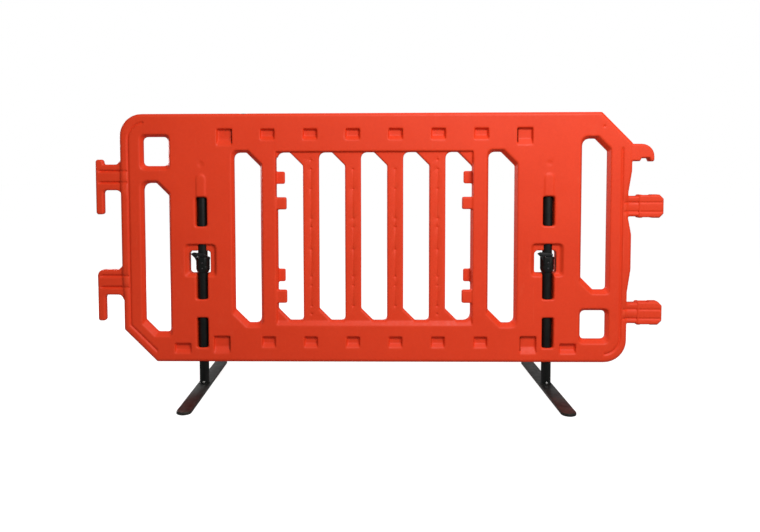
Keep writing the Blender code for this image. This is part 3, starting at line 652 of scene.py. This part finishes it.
def build_leg(side):
    body = side + "_leg"
    x = POST[side]
    low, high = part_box(side + "_leg_post")
    radius = (high.x - low.x) / 2
    outer = round_ends(low.z, high.z, radius, 0.0007)
    inner = [(high.z - 0.0005, radius - TUBE_WALL), (low.z + 0.0005, radius - TUBE_WALL)]
    tube = turned("tube", outer + inner, (x, 0, 0), "Z", 96, True)
    tube = joined([tube, weld_bead(x, low.z, radius)])
    dress(smooth(tube, 50), COAT, side + "_post_tube", body, side + "_leg_post")

    low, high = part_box(side + "_post_cap")
    rim = (high.x - low.x) / 2
    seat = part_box(side + "_leg_post")[1].z + 0.0003
    plug = radius - TUBE_WALL - 0.0004
    ribs = [(low.z + step, plug - (0.0011 if i % 2 else 0.0)) for i, step in
            enumerate((0.001, 0.0030, 0.0034, 0.0055, 0.0059, 0.0080, 0.0084, 0.0105, 0.0109))]
    crown = [(seat, plug), (seat + 0.00005, rim - 0.0003), (seat + 0.0008, rim)]
    crown += [(high.z - 0.0012, rim - 0.0006), (high.z - 0.0003, rim - 0.0030)]
    crown += [(high.z, 0.0100), (high.z, 0.001)]
    cap = turned("cap", ribs + crown, (x, 0, 0), "Z", 64)
    dress(smooth(cap, 40), MOULDING, side + "_tube_cap", body, side + "_post_cap")

    foot = refined(side + "_foot_bar", 0.0011, 3, 25)
    dress(foot, FOOT_COAT, side + "_foot_plate", body, side + "_foot_bar")
    low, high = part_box(side + "_foot_spigot")
    core = (high.x - low.x) / 2
    chamfer = 0.003
    profile = round_ends(low.z, high.z - chamfer, core, 0.0006)[:-1]
    profile += [(high.z - chamfer, core), (high.z, core - chamfer), (high.z, 0.001)]
    spigot = smooth(turned("spigot", profile, (x, 0, 0), "Z", 64))
    dress(spigot, FOOT_COAT, side + "_spigot_tube", body, side + "_foot_spigot")
    build_rivet(side, "foot_rivet", "foot_snap", BRIGHT)


def build_rivet(side, node, name, material):
    """A round-headed rivet seen from the front, its shank running back into the tube."""
    low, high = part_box(side + "_" + node)
    centre = (low + high) / 2
    radius = (high.x - low.x) / 2
    seat = low.y + RIVET_HEAD
    profile = [(high.y, 0.0008), (high.y - 0.0004, radius * 0.46), (seat + 0.0002, radius * 0.48)]
    profile += dome(seat, low.y, radius)
    rivet = turned("rivet", profile, (centre.x, 0, centre.z), "Y", 40)
    dress(smooth(rivet, 45), material, side + "_" + name, side + "_leg", side + "_" + node)


def pin_hole(pin):
    return turned("hole", ((-0.030, PIN_HOLE), (-0.010, PIN_HOLE)), (pin.x, 0, pin.z), "Y", 32)


def build_latch(side):
    """The collar round the post with its two rivets, and the lever, pin and coil that it carries."""
    x = POST[side]
    low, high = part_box(side + "_lock_collar")
    rivets = [middle(side + "_collar_rivet_" + which) for which in ("upper", "lower")]
    pin = middle(side + "_lever_pin")
    outer = (high.x - low.x) / 2
    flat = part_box(side + "_collar_rivet_upper")[0].y + 0.0023
    crown = COLLAR_TOP
    profile = [(low.z, 0.0201), (low.z + 0.0105, outer - 0.0004), (low.z + 0.0125, outer)]
    bottom, upper = COLLAR_BAND
    profile += [(bottom, outer), (bottom + 0.0008, outer - 0.0006)]
    profile += [(upper - 0.0008, outer - 0.0006), (upper, outer)]
    profile += [(crown - 0.002, outer), (crown - 0.0006, outer - 0.0006), (crown, outer - 0.0018)]
    collar = turned("collar", profile, (x, 0, 0), "Z", 96)
    front = block("flat", (x - 0.03, -0.040, low.z - 0.01), (x + 0.03, flat, crown + 0.01))
    boolean(collar, front, "DIFFERENCE")
    ear = [(x + u, z) for u, z in ((0.0058, crown - 0.012), (0.0142, crown - 0.012))]
    ear += arc(x + 0.0100, high.z - EAR_ROUND, EAR_ROUND, 0, 180, 10)
    boolean(collar, slab("ear", ear, -0.0188, -0.0140), "UNION")
    stop = block("stop", (x + 0.0200, -0.0050, STOP_HEIGHTS[0]), (x + 0.0262, 0.0030, STOP_HEIGHTS[1]))
    boolean(collar, stop, "UNION")
    ends = ((low.z - 0.01, COLLAR_BORE), (high.z + 0.02, COLLAR_BORE))
    boolean(collar, turned("bore", ends, (x, 0, 0), "Z", 96), "DIFFERENCE")
    for spot in rivets:
        ends = ((-0.030, RIVET_HOLE), (-0.0065, RIVET_HOLE))
        hole = turned("hole", ends, (spot.x, 0, spot.z), "Y", 32)
        boolean(collar, hole, "DIFFERENCE")
    boolean(collar, pin_hole(pin), "DIFFERENCE")
    collar = smooth(bevel(collar, 0.0005, 2, 40), 40)
    dress(collar, COAT, side + "_latch_collar", side + "_leg", side + "_lock_collar")
    for which in ("upper", "lower"):
        build_rivet(side, "collar_rivet_" + which, "latch_rivet_" + which, BLACKED)
    build_lever(side, pin)
    build_lever_pin(side, pin)
    build_coil(side)


def build_lever(side, pin):
    """The thumb lever: a swept wing with grip ribs, just in front of the collar."""
    low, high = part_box(side + "_lock_lever")
    hub = 0.0062
    shape = arc(pin.x, pin.z, hub, -100, 90, 16)
    upper = ((-0.010, 0.0066), (-0.020, 0.0080), (-0.030, 0.0094), (-0.0385, 0.0103),
             (-0.0430, 0.0089))
    shape += [(pin.x + u, pin.z + v) for u, v in upper]
    shape += arc(pin.x - 0.0470, pin.z + 0.0044, 0.0020, 60, 220, 8)
    lower = ((-0.0455, 0.0004), (-0.0423, -0.0025), (-0.0374, -0.0074), (-0.0352, -0.0104),
             (-0.0335, -0.0134), (-0.0321, -0.0164), (-0.0311, -0.0190))
    shape += [(pin.x + u, pin.z + v) for u, v in lower]
    shape += arc(pin.x - 0.0298, pin.z - 0.0177, 0.0013, 240, 360, 4)
    shape += [(pin.x - 0.0285, pin.z - 0.0080)]
    shape += arc(pin.x - 0.0245, pin.z - 0.0080, 0.0040, 180, 90, 5)
    lever = slab("lever", shape, low.y + 0.0007, high.y)
    for i in range(5):
        u = -0.0435 + 0.0030 * i
        rib = block("rib", (-0.0006, low.y, -0.0052), (0.0006, low.y + 0.0016, 0.0052))
        turn = Matrix.Translation((pin.x + u, 0, pin.z + 0.0040 - 0.0010 * i))
        rib.data.transform(turn @ Matrix.Rotation(math.radians(-38), 4, "Y"))
        boolean(lever, rib, "UNION")
    boss = turned("boss", ((low.y, 0.0046), (low.y + 0.0010, 0.0048)), (pin.x, 0, pin.z), "Y", 40)
    boolean(lever, boss, "UNION")
    boolean(lever, pin_hole(pin), "DIFFERENCE")
    lever = smooth(bevel(lever, 0.0005, 2, 30), 40)
    dress(lever, MOULDING, side + "_thumb_lever", side + "_lever",
          side + "_lock_lever")


def build_lever_pin(side, pin):
    """The pin that the lever turns on, with a domed head in front."""
    low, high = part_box(side + "_lever_pin")
    radius = (high.x - low.x) / 2
    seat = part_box(side + "_lock_lever")[0].y - 0.0003
    profile = [(high.y, 0.0010), (high.y - 0.0006, PIN_SHANK), (seat + 0.0001, PIN_SHANK)]
    profile += dome(seat, low.y, radius, 5)
    rivet = smooth(turned("pin", profile, (pin.x, 0, pin.z), "Y", 32), 45)
    dress(rivet, BLACKED, side + "_pivot_rivet", side + "_leg", side + "_lever_pin")


def build_coil(side):
    """The lever's coil spring."""
    low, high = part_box(side + "_lever_spring")
    centre = (low + high) / 2
    radius = (high.x - low.x) / 2 - COIL_WIRE - 0.0001
    rise = high.z - low.z - 2 * COIL_WIRE
    per_turn, sides = 22, 8
    steps = COIL_TURNS * per_turn
    bm = bmesh.new()
    rings = []
    for i in range(steps + 1):
        turn = 2 * math.pi * i / per_turn
        height = low.z + COIL_WIRE + rise * i / steps
        ring = []
        for j in range(sides):
            around = 2 * math.pi * j / sides
            reach = radius + COIL_WIRE * math.cos(around)
            ring.append((centre.x + reach * math.cos(turn), centre.y + reach * math.sin(turn),
                         height + COIL_WIRE * math.sin(around)))
        rings.append(ring)
    add_rings(bm, rings)
    coil = smooth(object_from("coil", bm), 60)
    dress(coil, BRIGHT, side + "_lever_coil", side + "_leg", side + "_lever_spring")
    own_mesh(coil)


def notched_disc(name, profile, centre, axis, notches, reach):
    """A turned head with grip notches round its rim."""
    disc = turned(name, profile, centre, axis, 96)
    cutters = []
    for i in range(notches):
        turn = 2 * math.pi * (i + 0.5) / notches
        u, v = reach * math.cos(turn), reach * math.sin(turn)
        spot = (centre[0] + u, centre[1] + v, 0) if axis == "Z" else (centre[0] + u, 0, centre[2] + v)
        lift = centre[2] if axis == "Z" else centre[1]
        ends = ((lift - 0.0030, 0.0011), (lift + 0.0060, 0.0011))
        cutters.append(turned("notch", ends, spot, axis, 12))
    boolean(disc, joined(cutters), "DIFFERENCE")
    return disc


def seal_ring(node, axis, inner):
    """A flat ring with two rounded sealing lips."""
    low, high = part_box(node)
    centre = (low + high) / 2
    along0, along1 = (low.z, high.z) if axis == "Z" else (low.y, high.y)
    outer = (high.x - low.x) / 2
    thick = along1 - along0
    profile = []
    for i in range(28):
        angle = 2 * math.pi * i / 28
        part = (1 + math.cos(angle)) / 2
        lips = 0.86 + 0.14 * math.cos(4 * math.pi * part)
        profile.append((along0 + thick / 2 + thick / 2 * lips * math.sin(angle),
                        inner + (outer - inner) * part))
    spot = (centre.x, 0, 0) if axis == "Z" else (centre.x, 0, centre.z)
    return smooth(turned("seal", profile, spot, axis, 72, True), 60)


def thread(start, turns, root, crest):
    """A plug's rounded thread, as plain rings 3 mm apart."""
    points = []
    for i in range(turns):
        low = start + 0.0020 + 0.0030 * i
        points += [(low, root), (low + 0.0008, crest), (low + 0.0016, crest), (low + 0.0024, root)]
    return points


def build_ports():
    """The fill cap in the top edge, the drain plug in the rear face and their seals."""
    low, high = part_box("fill_cap")
    x = (low.x + high.x) / 2
    rim = (high.x - low.x) / 2
    under = TOP - 0.0040
    top = high.z
    profile = [(low.z, 0.0110), (low.z + 0.0006, 0.0119)] + thread(low.z, 6, 0.0112, 0.0121)
    profile += [(under, 0.0112), (under + 0.0001, rim - 0.0003), (under + 0.0005, rim)]
    profile += [(top - 0.0007, rim), (top - 0.0002, rim - 0.0004), (top, rim - 0.0012)]
    profile += [(top, 0.0138), (top - 0.0007, 0.0132), (top - 0.0007, 0.0120), (top, 0.0114)]
    profile += [(top, 0.001)]
    cap = notched_disc("cap", profile, (x, 0, 0), "Z", 20, rim + 0.0004)
    cap_slot = block("slot", (x - 0.0095, -0.0022, TOP - 0.0026), (x + 0.0095, 0.0022, TOP + 0.002))
    boolean(cap, cap_slot, "DIFFERENCE")
    cap = smooth(bevel(cap, 0.0003, 2, 35), 40)
    dress(cap, MOULDING, "filler_cap", "fill_cap_body", "fill_cap")
    seal = seal_ring("fill_cap_seal", "Z", 0.0140)
    dress(seal, RUBBER, "filler_seal", "panel_body", "fill_cap_seal")

    low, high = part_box("drain_plug")
    spot = (low + high) / 2
    rim = (high.x - low.x) / 2
    under = FACE - 0.0028
    top = high.y
    profile = [(low.y, 0.0080), (low.y + 0.0006, 0.0089)] + thread(low.y, 3, 0.0083, 0.0091)
    profile += [(under, 0.0083), (under + 0.0001, rim - 0.0003), (under + 0.0006, rim)]
    profile += [(top - 0.0010, rim - 0.0006), (top - 0.0002, rim - 0.0016), (top, rim - 0.0026)]
    profile += [(top, 0.0108), (top - 0.0006, 0.0103), (top - 0.0006, 0.0094), (top, 0.0089)]
    profile += [(top, 0.001)]
    plug = notched_disc("plug", profile, (spot.x, 0, spot.z), "Y", 16, rim + 0.0005)
    plug_slot = block("slot", (spot.x - 0.0075, FACE + 0.0008, spot.z - 0.0016),
                      (spot.x + 0.0075, FACE + 0.006, spot.z + 0.0016))
    boolean(plug, plug_slot, "DIFFERENCE")
    plug = smooth(bevel(plug, 0.0003, 2, 35), 40)
    dress(plug, MOULDING, "drain_screw", "drain_plug_body", "drain_plug")
    seal = seal_ring("drain_plug_seal", "Y", 0.0110)
    dress(seal, RUBBER, "drain_seal", "panel_body", "drain_plug_seal")


build_panel()
COAT = coated_steel()
FOOT_COAT = foot_steel()
BRIGHT = zinc()
MOULDING = black_moulding()
RUBBER = seal_rubber()
BLACKED = blacked_steel()
for side in SIDES:
    build_leg(side)
    build_latch(side)
build_ports()

# ---------------------------------------------------------------- floor, light and camera


def whiten(tree, strength, for_light, for_camera):
    """Set a strength apart for light that falls on the object and for what the camera sees, so that
    the white backdrop doesn't flood the object with light."""
    path = tree.nodes.new("ShaderNodeLightPath")
    scale = tree.nodes.new("ShaderNodeMapRange")
    scale.inputs["To Min"].default_value = for_light
    scale.inputs["To Max"].default_value = for_camera
    tree.links.new(path.outputs["Is Camera Ray"], scale.inputs["Value"])
    tree.links.new(scale.outputs["Result"], strength)


def build_stage():
    """A plain pale floor and white surroundings."""
    bm = bmesh.new()
    bmesh.ops.create_grid(bm, x_segments=1, y_segments=1, size=30)
    floor = object_from("floor", bm)
    n = Nodes("pale_floor")
    colour = n.ramp(n.noise(2, 3, 0.5), ((0.3, (0.30, 0.30, 0.30)), (0.7, (0.32, 0.32, 0.32))))
    floor.data.materials.append(n.set(Base_Color=colour, Roughness=0.9, Specular_IOR_Level=0.1))
    n.shader.inputs["Emission Color"].default_value = (1, 1, 1, 1)
    whiten(n.tree, n.shader.inputs["Emission Strength"], 0, FLOOR_GLOW)
    world = bpy.data.worlds.new("studio")
    bpy.context.scene.world = world
    world.use_nodes = True
    background = world.node_tree.nodes["Background"]
    background.inputs["Color"].default_value = (1, 1, 1, 1)
    whiten(world.node_tree, background.inputs["Strength"], FILL, 1)


def area_light(name, place, target, size, power):
    light = bpy.data.lights.new(name, "AREA")
    light.shape = "RECTANGLE"
    light.size, light.size_y = size
    light.energy = power
    obj = bpy.data.objects.new(name, light)
    bpy.context.scene.collection.objects.link(obj)
    obj.location = place
    obj.rotation_euler = (target - place).to_track_quat("-Z", "Y").to_euler()


def build_lights():
    """A broad light high in front, a weaker one from the right, a narrow one over the top edge and
    one behind on the left, which lights the rear face and the window walls that face left."""
    middle_of_legs = Vector((CENTRE, 0, 0))
    for name, place, target, size, power in LIGHTS:
        area_light(name, middle_of_legs + Vector(place), middle_of_legs + Vector(target), size, power)


def build_camera():
    """The view: about 2.9 m in front, a little above mid height, turned slightly left."""
    yaw, pitch, roll = (math.radians(angle) for angle in CAMERA_TURN)
    level = Vector((math.sin(yaw), math.cos(yaw), 0))
    ahead = level * math.cos(pitch) - Vector((0, 0, math.sin(pitch)))
    side = Vector((math.cos(yaw), -math.sin(yaw), 0))
    down = ahead.cross(side)
    right = math.cos(roll) * side + math.sin(roll) * down
    below = -math.sin(roll) * side + math.cos(roll) * down
    camera = bpy.data.cameras.new("view")
    camera.sensor_width = 36
    camera.lens = CAMERA_LENS
    camera.shift_x, camera.shift_y = CAMERA_SHIFT
    obj = bpy.data.objects.new("view", camera)
    bpy.context.scene.collection.objects.link(obj)
    rotation = Matrix((right, -below, -ahead)).transposed().to_4x4()
    obj.matrix_world = Matrix.Translation(Vector((CENTRE, 0, 0)) + Vector(CAMERA_PLACE)) @ rotation
    bpy.context.scene.camera = obj


build_stage()
build_lights()
build_camera()
bpy.context.scene.view_settings.view_transform = "Standard"
